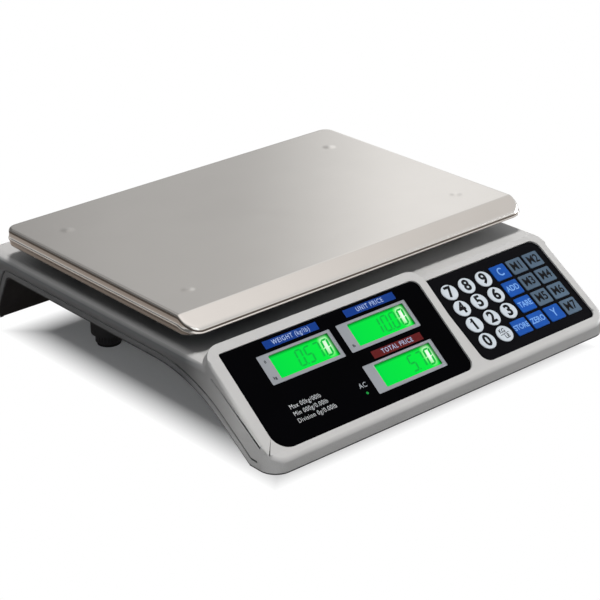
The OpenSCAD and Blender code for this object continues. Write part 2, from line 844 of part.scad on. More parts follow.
// Steel plate that spreads the load cell's reaction over the tray floor.
module cell_base_plate() color("slategray")
  difference() {
    translate([0, 0, plate_z]) linear_extrude(plate_t)
      plate_2d(-95, 78, pan_mid_y - 24, pan_mid_y + 24, [4, 4, 4, 4]);
    for (x = bolt_xs) peg([-x, pan_mid_y], plate_z - over, spacer_z + over, bolt_r + fit);
    peg([bolt_xs[0], pan_mid_y], plate_z - over, spacer_z + over, bolt_r + fit);
  }

// Stop screw under the load cell's free end, and four under the spider's arms.
module overload_stops() color("silver") {
  peg([bolt_xs[0], pan_mid_y], plate_z, cell_z - stop_gap, bolt_r);
  for (x = [-stop_x, stop_x], y = stop_ys) {
    peg([x, y], deck_z - 9, deck_z, stop_r);
    peg([x, y], deck_z, spider_z - stop_gap, 4.5);
  }
}

// ---------- Feet ----------

// Knurled wheel with the stud that screws into the tray.
module foot_screw(p) color("black")
  difference() {
    union() {
      peg(p, pad_h, wheel_top, foot_r);
      peg(p, wheel_top, stud_top, stud_r);
    }
    for (i = [0 : knurls - 1]) translate([p[0], p[1], pad_h + 1.5]) rotate(i * 360 / knurls)
      translate([foot_r + knurl_r / 2, 0, 0]) cylinder(h = 8, r = knurl_r, $fn = 16);
    peg(p, pad_h - over, pad_h + pad_spigot + 0.2, spigot_r + fit);
  }

// Rubber pad that the wheel turns on.
module foot_pad(p) color("darkslategray") {
  peg(p, 0, pad_h, foot_r - 1.2);
  peg(p, pad_h, pad_h + pad_spigot, spigot_r);
}

// The same plan position on the left side.
function left(p) = [-p[0], p[1]];

upper_housing();
base_tray();
display_window();
keypad_overlay();
keypad_board();
main_board();
lcd_modules();
charge_lamp();
rear_window();
rear_display_board();
pan();
pan_spider();
pan_rests();
upper_spacer();
spider_bolts();
load_cell();
lower_spacer();
load_cell_bolts();
cell_base_plate();
overload_stops();
battery();
battery_door();
transformer();
power_inlet();
switch_frame();
switch_rocker();
wiring_loom();
housing_screws();
foot_screw(left(foot_front));  // foot_screw_fl
foot_screw(foot_front);  // foot_screw_fr
foot_screw(left(foot_rear));  // foot_screw_rl
foot_screw(foot_rear);  // foot_screw_rr
foot_pad(left(foot_front));  // foot_pad_fl
foot_pad(foot_front);  // foot_pad_fr
foot_pad(left(foot_rear));  // foot_pad_rl
foot_pad(foot_rear);  // foot_pad_rr
key(0, 0);  // key_7
key(1, 0);  // key_8
key(2, 0);  // key_9
key(3, 0);  // key_clear
key(4, 0);  // key_m1
key(5, 0);  // key_m2
key(0, 1);  // key_4
key(1, 1);  // key_5
key(2, 1);  // key_6
key(3, 1);  // key_add
key(4, 1);  // key_m3
key(5, 1);  // key_m4
key(0, 2);  // key_1
key(1, 2);  // key_2
key(2, 2);  // key_3
key(3, 2);  // key_tare
key(4, 2);  // key_m5
key(5, 2);  // key_m6
key(0, 3);  // key_0
key(1, 3);  // key_unit
key(2, 3);  // key_store
key(3, 3);  // key_zero
key(4, 3);  // key_enter
key(5, 3);  // key_m7
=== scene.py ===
import json
import math

import bmesh
import bpy
from mathutils import Matrix, Vector


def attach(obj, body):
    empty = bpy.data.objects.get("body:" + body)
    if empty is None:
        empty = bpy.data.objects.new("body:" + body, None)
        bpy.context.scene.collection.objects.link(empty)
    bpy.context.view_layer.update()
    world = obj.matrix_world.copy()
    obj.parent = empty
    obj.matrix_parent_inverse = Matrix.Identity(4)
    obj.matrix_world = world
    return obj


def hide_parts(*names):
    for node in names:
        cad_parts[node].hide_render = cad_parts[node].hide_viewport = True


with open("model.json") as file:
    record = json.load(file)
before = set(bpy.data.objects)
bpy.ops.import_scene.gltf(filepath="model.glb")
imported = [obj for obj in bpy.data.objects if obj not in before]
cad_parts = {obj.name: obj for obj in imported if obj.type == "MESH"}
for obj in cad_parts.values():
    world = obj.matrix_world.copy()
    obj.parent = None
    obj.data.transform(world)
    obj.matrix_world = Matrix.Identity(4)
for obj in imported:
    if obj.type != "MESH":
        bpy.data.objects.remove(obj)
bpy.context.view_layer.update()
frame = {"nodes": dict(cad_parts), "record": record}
NODES = frame["nodes"]
MM = 0.001

# ---------------------------------------------------------------- places
PANEL_Y, PANEL_Z = -174.2, 27.1
WINDOW = (-159.1, 29.2, 0.3, 82.1)
MODULE_W, MODULE_H, LEFT_FACE = 68.0, 24.2, 9.6
LCDS = [(-98.6, 58.6), (-24.4, 58.9), (-24.2, 22.7)]
READINGS = ["0.570", "10.00", "5.70"]
REAR_Y = 179.5
REAR_LCDS = [(73.0, 46.0), (0.0, 46.0), (-73.0, 46.0)]
KEY_X, KEY_S, PITCH_X, PITCH_S = 56.0, 64.8, 18.33, 16.2
ROUND_R, KEY_W, KEY_H, PROUD = 7.2, 15.6, 13.6, 0.5
KEYS = [
    ["7", "8", "9", "clear", "m1", "m2"],
    ["4", "5", "6", "add", "m3", "m4"],
    ["1", "2", "3", "tare", "m5", "m6"],
    ["0", "unit", "store", "zero", "enter", "m7"],
]
LEGENDS = {"clear": "C", "add": "ADD", "tare": "TARE", "store": "STORE", "zero": "ZERO", "enter": "Y"}


def panel(tilt):
    """Millimetres on a console panel (across, up the slope, out of it) to metres in the row frame."""
    return (
        Matrix.Scale(MM, 4)
        @ Matrix.Translation((0, PANEL_Y, PANEL_Z))
        @ Matrix.Rotation(math.radians(tilt), 4, "X")
    )


DISPLAY = panel(38.3)
KEYPAD = panel(32.8)
# Customer side: x to the customer's right, y up, z out of the rear wall.
REAR = (
    Matrix.Scale(MM, 4)
    @ Matrix.Translation((0, REAR_Y, 0))
    @ Matrix.Rotation(math.pi, 4, "Z")
    @ Matrix.Rotation(math.pi / 2, 4, "X")
)


# ---------------------------------------------------------------- materials
def lin(hex_colour):
    """sRGB hex to linear RGBA."""
    out = []
    for i in (0, 2, 4):
        c = int(hex_colour[i : i + 2], 16) / 255
        out.append(c / 12.92 if c <= 0.04045 else ((c + 0.055) / 1.055) ** 2.4)
    return (*out, 1.0)


class Nodes:
    """Short hand for building a node tree."""

    def __init__(self, material):
        self.tree = material.node_tree
        self.tree.nodes.clear()
        self.out = self.add("ShaderNodeOutputMaterial")

    def add(self, kind, **values):
        node = self.tree.nodes.new(kind)
        for key, value in values.items():
            if key in node.inputs:
                node.inputs[key].default_value = value
            else:
                setattr(node, key, value)
        return node

    def link(self, a, b):
        self.tree.links.new(a, b)

    def coords(self, scale, turn=(0, 0, 0)):
        """Object coordinates in metres, scaled."""
        c = self.add("ShaderNodeTexCoord")
        m = self.add("ShaderNodeMapping")
        m.inputs["Scale"].default_value = scale if hasattr(scale, "__len__") else (scale,) * 3
        m.inputs["Rotation"].default_value = turn
        self.link(c.outputs["Object"], m.inputs["Vector"])
        return m.outputs["Vector"]

    def noise(self, vector, scale=1.0, detail=3.0, rough=0.5):
        n = self.add("ShaderNodeTexNoise")
        n.inputs["Scale"].default_value = scale
        n.inputs["Detail"].default_value = detail
        n.inputs["Roughness"].default_value = rough
        self.link(vector, n.inputs["Vector"])
        return n.outputs["Fac"]

    def span(self, value, lo, hi, a, b):
        """Maps value from lo..hi to a..b, clamped."""
        r = self.add("ShaderNodeMapRange")
        r.inputs["From Min"].default_value = lo
        r.inputs["From Max"].default_value = hi
        r.inputs["To Min"].default_value = a
        r.inputs["To Max"].default_value = b
        self.link(value, r.inputs["Value"])
        return r.outputs["Result"]

    def mix(self, factor, a, b):
        """Colour mix; a and b are colours or sockets."""
        m = self.add("ShaderNodeMix", data_type="RGBA")
        self.link(factor, m.inputs["Factor"])
        for socket, value in ((m.inputs[6], a), (m.inputs[7], b)):
            if hasattr(value, "is_linked"):
                self.link(value, socket)
            else:
                socket.default_value = value
        return m.outputs[2]

    def maths(self, operation, a, b=0.0):
        m = self.add("ShaderNodeMath", operation=operation)
        for socket, value in ((m.inputs[0], a), (m.inputs[1], b)):
            if hasattr(value, "is_linked"):
                self.link(value, socket)
            else:
                socket.default_value = value
        return m.outputs[0]

    def bump(self, height, strength, distance):
        b = self.add("ShaderNodeBump")
        b.inputs["Strength"].default_value = strength
        b.inputs["Distance"].default_value = distance
        self.link(height, b.inputs["Height"])
        return b.outputs["Normal"]


def new_material(name):
    m = bpy.data.materials.new(name)
    m.use_nodes = True
    return m, Nodes(m)


def principled(n, **values):
    p = n.add("ShaderNodeBsdfPrincipled")
    for key, value in values.items():
        p.inputs[key.replace("_", " ")].default_value = value
    n.link(p.outputs[0], n.out.inputs["Surface"])
    return p


def moulded(name, colour, rough, grain=0.05, grain_scale=2600, specular=0.5, wear=0.06, shade=None):
    """Moulded plastic: fine spark texture, uneven sheen and faint handling marks.
    shade is the colour of painted shade, mixed in where ambient occlusion finds deep gaps (less towards
    the right) and on the left walls under the pan."""
    m, n = new_material(name)
    p = principled(n, Roughness=rough, Specular_IOR_Level=specular)
    fine = n.noise(n.coords(grain_scale), 1.0, 2.0)
    broad = n.noise(n.coords(28), 1.0, 4.0)
    smear = n.noise(n.coords((90, 30, 90), (0, 0, 0.5)), 1.0, 5.0, 0.6)
    dark = tuple(c * (1 - wear) for c in colour[:3]) + (1,)
    light = tuple(min(1, c * (1 + wear * 0.5)) for c in colour[:3]) + (1,)
    base = n.mix(n.span(broad, 0.3, 0.7, 0, 1), dark, light)
    if shade:
        # Painted shade: darker in gaps found by ambient occlusion, lifted towards +X, and darker on left
        # side faces under the pan that don't face up.
        ao = n.add("ShaderNodeAmbientOcclusion", samples=6)
        ao.inputs["Distance"].default_value = 0.08
        split = n.add("ShaderNodeSeparateXYZ")
        n.link(n.coords(1), split.inputs[0])
        clear = n.maths("MAXIMUM", n.span(ao.outputs["AO"], 0.10, 0.62, 0, 1),
                        n.span(split.outputs["X"], -0.10, 0.08, 0.05, 1.0))
        facing = n.add("ShaderNodeSeparateXYZ")
        n.link(n.add("ShaderNodeNewGeometry").outputs["Normal"], facing.inputs[0])
        behind = n.maths("MAXIMUM", n.span(split.outputs["Y"], -0.145, -0.085, 1.0, 0.12),
                         n.maths("MAXIMUM", n.span(split.outputs["X"], -0.15, -0.10, 0.0, 1.0),
                                 n.span(facing.outputs["Z"], 0.4, 0.75, 0.0, 1.0)))
        clear = n.maths("MINIMUM", clear, behind)
        base = n.mix(clear, shade, base)
    n.link(base, p.inputs["Base Color"])
    n.link(n.span(smear, 0.25, 0.75, rough * 0.85, min(1, rough * 1.25)), p.inputs["Roughness"])
    n.link(n.bump(fine, grain, 0.0002), p.inputs["Normal"])
    return m


def metal(name, colour, rough, along=(3, 400, 400), strength=0.08, anisotropic=0.0, blotch=0.05):
    """Drawn or brushed metal: streaks along one axis over faint blotches."""
    m, n = new_material(name)
    p = principled(n, Metallic=1.0, Roughness=rough, Anisotropic=anisotropic)
    streak = n.noise(n.coords(along), 1.0, 6.0, 0.7)
    broad = n.noise(n.coords(35), 1.0, 3.0)
    dark = tuple(c * (1 - blotch) for c in colour[:3]) + (1,)
    n.link(n.mix(n.span(broad, 0.3, 0.7, 0, 1), dark, colour), p.inputs["Base Color"])
    n.link(n.span(streak, 0.2, 0.8, rough * 0.8, rough * 1.25), p.inputs["Roughness"])
    n.link(n.bump(streak, strength, 0.0001), p.inputs["Normal"])
    return m


def ink(name, colour, rough=0.45):
    """Printed ink: a little uneven in density."""
    m, n = new_material(name)
    p = principled(n, Roughness=rough, Specular_IOR_Level=0.06)
    spots = n.noise(n.coords(1500), 1.0, 2.0)
    dark = tuple(c * 0.9 for c in colour[:3]) + (1,)
    n.link(n.mix(spots, dark, colour), p.inputs["Base Color"])
    return m


def board(name):
    """Circuit board: solder mask with copper tracks and pads."""
    m, n = new_material(name)
    p = principled(n, Roughness=0.35, Specular_IOR_Level=0.5)
    v = n.coords(220)
    brick = n.add("ShaderNodeTexBrick")
    brick.inputs["Scale"].default_value = 1.0
    brick.inputs["Mortar Size"].default_value = 0.06
    brick.inputs["Brick Width"].default_value = 2.3
    brick.inputs["Row Height"].default_value = 0.45
    n.link(v, brick.inputs["Vector"])
    dots = n.add("ShaderNodeTexVoronoi")
    dots.inputs["Scale"].default_value = 1.0
    n.link(n.coords(260), dots.inputs["Vector"])
    base = n.mix(brick.outputs["Fac"], lin("0e5a2b"), lin("0a4320"))
    pads = n.span(dots.outputs["Distance"], 0.10, 0.14, 1, 0)
    n.link(n.mix(pads, base, lin("c9a95c")), p.inputs["Base Color"])
    n.link(n.bump(brick.outputs["Fac"], 0.2, 0.0001), p.inputs["Normal"])
    return m


def backlit(name, strength=1.0):
    """Backlit panel: even green, with a painted glare towards the right end broken by faint vertical
    banding, and a painted shadow of the bezel along the top and right edges.
    """
    m, n = new_material(name)
    uv = n.add("ShaderNodeTexCoord")
    split = n.add("ShaderNodeSeparateXYZ")
    n.link(uv.outputs["UV"], split.inputs[0])
    # Painted glare: a whitish spot towards the right end, streaked by faint vertical bands.
    dx = n.maths("MULTIPLY", n.maths("SUBTRACT", split.outputs["X"], 0.9), 8.5)
    dy = n.maths("MULTIPLY", n.maths("SUBTRACT", split.outputs["Y"], 0.58), 1.7)
    far = n.maths("ADD", n.maths("MULTIPLY", dx, dx), n.maths("MULTIPLY", dy, dy))
    painted_glow = n.span(far, 0.0, 1.0, 1.0, 0.0)
    bands = n.noise(n.coords((420, 8, 8)), 1.0, 2.0)
    painted_glow = n.maths("MULTIPLY", n.maths("MULTIPLY", painted_glow, painted_glow), n.span(bands, 0.3, 0.7, 0.75, 1.0))
    even = n.mix(n.span(split.outputs["X"], 0, 1, 0, 1), lin("00dd44"), lin("04ee3e"))
    lit = n.mix(painted_glow, even, (0.95, 1.0, 0.93, 1))
    # Painted shadow of the bezel on the recessed glass: darker green along the top and right edges.
    edge = n.maths("MULTIPLY", n.span(split.outputs["Y"], 0.87, 0.965, 1.0, 0.25),
                   n.span(split.outputs["X"], 0.955, 0.985, 1.0, 0.3))
    colour = n.mix(edge, lin("00621d"), lit)
    e = n.add("ShaderNodeEmission")
    e.inputs["Strength"].default_value = strength
    n.link(colour, e.inputs["Color"])
    g = n.add("ShaderNodeBsdfPrincipled")
    g.inputs["Base Color"].default_value = (0, 0.005, 0.001, 1)
    g.inputs["Roughness"].default_value = 0.25
    g.inputs["Specular IOR Level"].default_value = 0.03
    a = n.add("ShaderNodeAddShader")
    n.link(e.outputs[0], a.inputs[0])
    n.link(g.outputs[0], a.inputs[1])
    n.link(a.outputs[0], n.out.inputs["Surface"])
    return m


def glowing(name, colour, strength):
    m, n = new_material(name)
    p = principled(n, Roughness=0.3, Specular_IOR_Level=0.08)
    p.inputs["Base Color"].default_value = (0, 0.01, 0, 1)
    p.inputs["Emission Color"].default_value = colour
    spots = n.noise(n.coords(900), 1.0, 2.0)
    n.link(n.span(spots, 0, 1, strength * 0.8, strength * 1.2), p.inputs["Emission Strength"])
    return m


HOUSING = moulded("satin_grey_plastic", lin("929190"), 0.34, 0.06, 3000, 0.4, 0.03, lin("2c2f32"))
TRAY = moulded("black_tray_plastic", lin("1b1b1d"), 0.55, 0.12, 1800, 0.4, 0.15)
WINDOW_BLACK = moulded("window_black_acrylic", lin("010102"), 0.08, 0.0, 500, 0.015, 0.3)
OVERLAY = moulded("overlay_black_film", lin("040406"), 0.34, 0.05, 4000, 0.03, 0.2)
BOARD = board("green_circuit_board")
LCD_BACK = moulded("lcd_back_frame", lin("2a2c2e"), 0.4, 0.03, 2000, 0.5, 0.1)
BEZEL = metal("lcd_bezel_grey", lin("9fa3a9"), 0.38, (600, 600, 600), 0.03, 0.0, 0.04)
GREEN = backlit("lcd_green_backlight")
SEGMENT = glowing("lcd_segment_dark", lin("00b23e"), 1.0)
SHADOW = glowing("lcd_segment_shadow", lin("00cd43"), 1.0)
LAMP = glowing("lamp_green_lens", lin("1fa848"), 0.7)
BLUE_STRIP = ink("strip_blue_ink", lin("0c2a66"))
RED_STRIP = ink("strip_red_ink", lin("471213"))
WHITE_INK = ink("legend_white_ink", lin("82868a"))
STRIP_INK = ink("strip_pale_ink", lin("8593ad"))
KEY_INK = ink("legend_pale_blue_ink", lin("6085b6"))
FINE_INK = ink("fine_print_ink", lin("9a9c9e"))
BLACK_INK = ink("legend_black_ink", lin("0b0b0d"))
KEY_GREY = moulded("key_grey_plastic", lin("999fa5"), 0.42, 0.04, 3000, 0.3, 0.05)
KEY_BLUE = moulded("key_blue_plastic", lin("053a80"), 0.42, 0.04, 3000, 0.15, 0.2)
KEY_SLATE = moulded("key_slate_plastic", lin("3b4a59"), 0.42, 0.04, 3000, 0.15, 0.2)
STEEL = metal("pan_brushed_stainless", lin("e3dfda"), 0.16, (5, 900, 900), 0.05, 0.3, 0.02)
# Darker steel for the pan's rounded top edge: painted shade and dark reflection along the edge.
EDGE_SHADE_STEEL = metal("pan_edge_painted_shade", lin("70675f"), 0.35, (5, 900, 900), 0.03, 0.0, 0.05)
CAST = metal("cast_aluminium", lin("b9bbbf"), 0.48, (500, 500, 500), 0.35, 0.0, 0.1)
ANODISED = metal("anodised_aluminium", lin("d6d8dc"), 0.30, (4, 700, 700), 0.1, 0.2, 0.05)
ZINC = metal("zinc_plated_steel", lin("a8acae"), 0.34, (200, 200, 200), 0.12, 0.0, 0.12)
SCREW = metal("screw_zinc_steel", lin("b8b7b0"), 0.28, (600, 600, 40), 0.15, 0.0, 0.1)
RUBBER = moulded("black_rubber", lin("151515"), 0.8, 0.3, 1500, 0.25, 0.25)
BATTERY = moulded("battery_grey_case", lin("4c4e51"), 0.45, 0.08, 1500, 0.4, 0.12)
IRON = metal("transformer_laminations", lin("8a7a68"), 0.5, (30, 30, 2200), 0.5, 0.0, 0.2)
JACKET = moulded("cable_black_jacket", lin("222224"), 0.5, 0.1, 1500, 0.35, 0.2)
FITTING = moulded("fitting_black_plastic", lin("111113"), 0.3, 0.05, 2000, 0.45, 0.15)
ROCKER = moulded("rocker_red_plastic", lin("b21a14"), 0.25, 0.02, 2000, 0.5, 0.12)
NYLON = moulded("foot_black_nylon", lin("17181a"), 0.45, 0.12, 1600, 0.4, 0.2)

SLOTS = {
    "housing_plastic": HOUSING, "tray_plastic": TRAY, "window_acrylic": WINDOW_BLACK,
    "overlay_film": OVERLAY, "board_laminate": BOARD, "lcd_glass": LCD_BACK, "lamp_lens": LAMP,
    "key_grey": KEY_GREY, "key_blue": KEY_BLUE, "key_slate": KEY_SLATE, "pan_steel": STEEL,
    "spider_aluminium": CAST, "cell_aluminium": ANODISED, "plate_steel": ZINC,
    "screw_steel": SCREW, "rest_rubber": RUBBER, "battery_case": BATTERY,
    "transformer_iron": IRON, "cable_jacket": JACKET, "fitting_plastic": FITTING,
    "rocker_red": ROCKER, "foot_nylon": NYLON,
}
NODE_SLOT = {s["node"]: s["material_slot"] for s in frame["record"]["subparts"]}
for node_name, obj in NODES.items():
    obj.data.materials.clear()
    obj.data.materials.append(SLOTS[NODE_SLOT[node_name]])


# ---------------------------------------------------------------- mesh helpers
def arc_outline(x0, x1, y0, y1, radii, seg=10):
    """Rectangle with a radius for each corner, from the lower left, counter-clockwise."""
    corners = [(x0, y0, 180), (x1, y0, 270), (x1, y1, 0), (x0, y1, 90)]
    signs = [(1, 1), (-1, 1), (-1, -1), (1, -1)]
    points = []
    for (x, y, start), (sx, sy), r in zip(corners, signs, radii):
        if r <= 0:
            points.append((x, y))
            continue
        cx, cy = x + sx * r, y + sy * r
        for i in range(seg + 1):
            a = math.radians(start + 90 * i / seg)
            points.append((cx + r * math.cos(a), cy + r * math.sin(a)))
    return points


def circle_outline(x, y, r, seg=48):
    turns = [2 * math.pi * i / seg for i in range(seg)]
    return [(x + r * math.cos(a), y + r * math.sin(a)) for a in turns]


def as_mesh(obj):
    """The evaluated mesh of a temporary object, which is removed."""
    bpy.context.scene.collection.objects.link(obj)
    bpy.context.view_layer.update()
    dg = bpy.context.evaluated_depsgraph_get()
    mesh = bpy.data.meshes.new_from_object(obj.evaluated_get(dg))
    bpy.data.objects.remove(obj)
    mesh.materials.clear()
    return mesh


def plate_mesh(loops, z0, z1, soft=0.0):
    """Flat plate between z0 and z1 with its edges rounded by soft. The first loop is the outside."""
    curve = bpy.data.curves.new("plate", "CURVE")
    curve.dimensions = "2D"
    curve.fill_mode = "BOTH"
    for i, loop in enumerate(loops):
        pts = loop if i == 0 else loop[::-1]
        spline = curve.splines.new("POLY")
        spline.points.add(len(pts) - 1)
        for p, (x, y) in zip(spline.points, pts):
            p.co = (x, y, 0, 1)
        spline.use_cyclic_u = True
    half = (z1 - z0) / 2
    curve.extrude = half - soft
    curve.bevel_depth = soft
    curve.bevel_resolution = 2
    curve.offset = -soft
    mesh = as_mesh(bpy.data.objects.new("plate", curve))
    mesh.transform(Matrix.Translation((0, 0, (z0 + z1) / 2)))
    return mesh


def text_mesh(body, size, depth=0.04, bold=0.0, squeeze=1.0, space=1.0, align="CENTER"):
    """Words as a thin solid. bold widens the strokes and squeeze narrows the letters."""
    curve = bpy.data.curves.new("text", "FONT")
    curve.body = body
    curve.size = size
    curve.align_x, curve.align_y = align, "CENTER"
    curve.extrude = depth / 2
    curve.offset = bold
    curve.space_character = space
    curve.resolution_u = 4
    mesh = as_mesh(bpy.data.objects.new("text", curve))
    mesh.transform(Matrix.Diagonal((squeeze, 1, 1, 1)))
    return mesh


def lathe_mesh(profile, seg=48):
    """Turns a profile of (radius, height) round Z."""
    bm = bmesh.new()
    rings = []
    for r, z in profile:
        if r < 1e-6:
            rings.append([bm.verts.new((0, 0, z))])
        else:
            rings.append([bm.verts.new((x, y, z)) for x, y in circle_outline(0, 0, r, seg)])
    for a, b in zip(rings, rings[1:]):
        for i in range(seg):
            j = (i + 1) % seg
            quad = [a[i % len(a)], a[j % len(a)], b[j % len(b)], b[i % len(b)]]
            unique = list(dict.fromkeys(quad))
            if len(unique) > 2:
                bm.faces.new(unique)
    bmesh.ops.recalc_face_normals(bm, faces=bm.faces)
    mesh = bpy.data.meshes.new("lathe")
    bm.to_mesh(mesh)
    bm.free()
    return mesh


def box_mesh(x0, x1, y0, y1, z0, z1):
    bm = bmesh.new()
    bmesh.ops.create_cube(bm, size=1.0)
    for v in bm.verts:
        v.co = (x0 if v.co.x < 0 else x1, y0 if v.co.y < 0 else y1, z0 if v.co.z < 0 else z1)
    mesh = bpy.data.meshes.new("box")
    bm.to_mesh(mesh)
    bm.free()
    return mesh


class Piece:
    """Gathers meshes with their materials into one object that rides on a body."""

    def __init__(self, name):
        self.name, self.parts = name, []

    def add(self, mesh, matrix, material, smooth=False):
        mesh.transform(matrix)
        mesh.polygons.foreach_set("use_smooth", [smooth] * len(mesh.polygons))
        self.parts.append((mesh, material if isinstance(material, tuple) else (material,)))
        return self

    def done(self, body, slot=None, replaces=(), smooth_angle=None):
        mesh = bpy.data.meshes.new(self.name)
        bm = bmesh.new()
        materials = []
        for part, used in self.parts:
            materials += [m for m in used if m not in materials]
            before = len(bm.faces)
            bm.from_mesh(part)
            bm.faces.ensure_lookup_table()
            for f in bm.faces[before:]:
                f.material_index = materials.index(used[min(f.material_index, len(used) - 1)])
        bm.to_mesh(mesh)
        bm.free()
        for material in materials:
            mesh.materials.append(material)
        obj = bpy.data.objects.new(self.name, mesh)
        bpy.context.scene.collection.objects.link(obj)
        if smooth_angle is not None:
            smooth_by_angle(obj, smooth_angle)
        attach(obj, body)
        if replaces:
            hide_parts(*replaces)
        return obj


def smooth_by_angle(obj, degrees):
    """Smooth shading, broken at edges sharper than the angle."""
    mesh = obj.data
    bm = bmesh.new()
    bm.from_mesh(mesh)
    limit = math.radians(degrees)
    for f in bm.faces:
        f.smooth = True
    for e in bm.edges:
        e.smooth = not (len(e.link_faces) != 2 or e.calc_face_angle(0) > limit)
    bm.to_mesh(mesh)
    bm.free()


def rim_edge(e):
    """True for an edge where a console panel's rim meets the housing's front or side wall."""
    top, wall = sorted((f.normal for f in e.link_faces), key=lambda n: -n.z)
    middle = (e.verts[0].co + e.verts[1].co) / 2 / MM
    outside = abs(middle.x) > 163 or middle.y < -170
    return outside and e.is_convex and 0.7 < top.z < 0.9 and top.y < -0.3 and abs(wall.z) < 0.2


def softened(node, width, segments=2, limit=32, rim=0.0):
    """A CAD node's mesh with its sharp edges rounded over, and the rim's outer edge rounded more."""
    mesh = NODES[node].data.copy()
    bm = bmesh.new()
    bm.from_mesh(mesh)
    bmesh.ops.remove_doubles(bm, verts=bm.verts, dist=2e-6)
    bmesh.ops.dissolve_limit(bm, angle_limit=math.radians(0.6), verts=bm.verts, edges=bm.edges)
    if rim:
        outer = [e for e in bm.edges if len(e.link_faces) == 2 and rim_edge(e)]
        bmesh.ops.bevel(bm, geom=outer, offset=rim * MM, offset_type="OFFSET", segments=5,
                        profile=0.5, affect="EDGES", clamp_overlap=False)
    sharp = [e for e in bm.edges if len(e.link_faces) == 2 and e.calc_face_angle(0) > math.radians(limit)]
    bmesh.ops.bevel(bm, geom=sharp, offset=width * MM, offset_type="OFFSET", segments=segments,
                    profile=0.5, affect="EDGES", clamp_overlap=True)
    bm.to_mesh(mesh)
    bm.free()
    return mesh


# ---------------------------------------------------------------- housing and tray
def place_softened(name, node, body, material, width, segments=2, limit=32, rim=0.0):
    obj = Piece(name).add(softened(node, width, segments, limit, rim), Matrix.Identity(4), material).done(
        body, NODE_SLOT[node], (node,), 28)
    flat = obj.modifiers.new("flat_faces", "WEIGHTED_NORMAL")
    flat.keep_sharp, flat.weight = True, 100


place_softened("housing_shell", "upper_housing", "body", HOUSING, 1.1, 3, 32, 2.6)
place_softened("tray_shell", "base_tray", "body", TRAY, 0.6, 2)


LIP = 1.3 * MM


def in_wall(x, y):
    """True where a point of the plan lies in the housing's outer wall."""
    cx, cy, r = (0.156, -0.167, 0.0111) if y < 0 else (0.150, 0.1595, 0.0171)
    beyond = cy - y if y < 0 else y - cy
    return math.hypot(max(abs(x) - cx, 0), max(beyond, 0)) > r


def tray_lip():
    """The tray's rim, just showing under the housing's lower edge."""
    bm = bmesh.new()
    bm.from_mesh(NODES["upper_housing"].data)
    bmesh.ops.remove_doubles(bm, verts=bm.verts, dist=2e-6)
    others = []
    for f in bm.faces:
        middle = f.calc_center_median()
        if f.normal.z > -0.2 or middle.z > 0.062 or not in_wall(middle.x, middle.y):
            others.append(f)
    bmesh.ops.delete(bm, geom=others, context="FACES")
    down = bmesh.ops.extrude_face_region(bm, geom=bm.faces[:])
    for v in [g for g in down["geom"] if isinstance(g, bmesh.types.BMVert)]:
        v.co.z -= LIP
    inward = 0.9975
    for v in bm.verts:
        v.co.x *= inward
        v.co.y *= inward
    bmesh.ops.recalc_face_normals(bm, faces=bm.faces)
    mesh = bpy.data.meshes.new("tray_lip")
    bm.to_mesh(mesh)
    bm.free()
    return mesh


Piece("tray_lip").add(tray_lip(), Matrix.Identity(4), TRAY).done("body", "tray_plastic", (), 28)


# ---------------------------------------------------------------- pan
PAN_X, PAN_Y0, PAN_Y1, PAN_TOP = 167.5, -91.0, 149.0, 100.0
PAN_WALL = 0.8
CREASE, SLOPE = 14.6, 0.575
BUMP_X, BUMP_Y, BUMP_R, BUMP_HIGH = 135, (-46, 108), 6.5, 0.35


def bevel_drop(u):
    """How far the front bevel falls at a distance u behind the front edge, with a soft crease."""
    w = 1.2
    if u < CREASE - w:
        return (CREASE - u) * SLOPE
    if u < CREASE + w:
        return SLOPE * (CREASE + w - u) ** 2 / (4 * w)
    return 0.0


def pan_outline(d):
    """Plan outline of the pan moved in by d, always with the same number of points."""
    x, y0, y1 = PAN_X - d, PAN_Y0 + d, PAN_Y1 - d
    corner = 12
    behind = [12.6, 13.2, 13.8, 14.4, 15.0, 15.6, 16.2, 17.5, 20, 26, 40, 70, 110, 160, 210, 228]
    points = []
    for cx, cy, start, r0 in ((-x, y0, 180, 12), (x, y0, 270, 12), (x, y1, 0, 10), (-x, y1, 90, 10)):
        r = max(r0 - d, 0.02)
        sx, sy = (1 if cx < 0 else -1), (1 if cy < 0 else -1)
        for i in range(corner + 1):
            a = math.radians(start + 90 * i / corner)
            points.append((cx + sx * r + r * math.cos(a), cy + sy * r + r * math.sin(a)))
        side = [min(max(PAN_Y0 + u, y0 + max(12 - d, 0.02)), y1 - max(10 - d, 0.02)) for u in behind]
        if start == 270:
            points += [(x, y) for y in side]
        elif start == 90:
            points += [(-x, y) for y in reversed(side)]
    return points


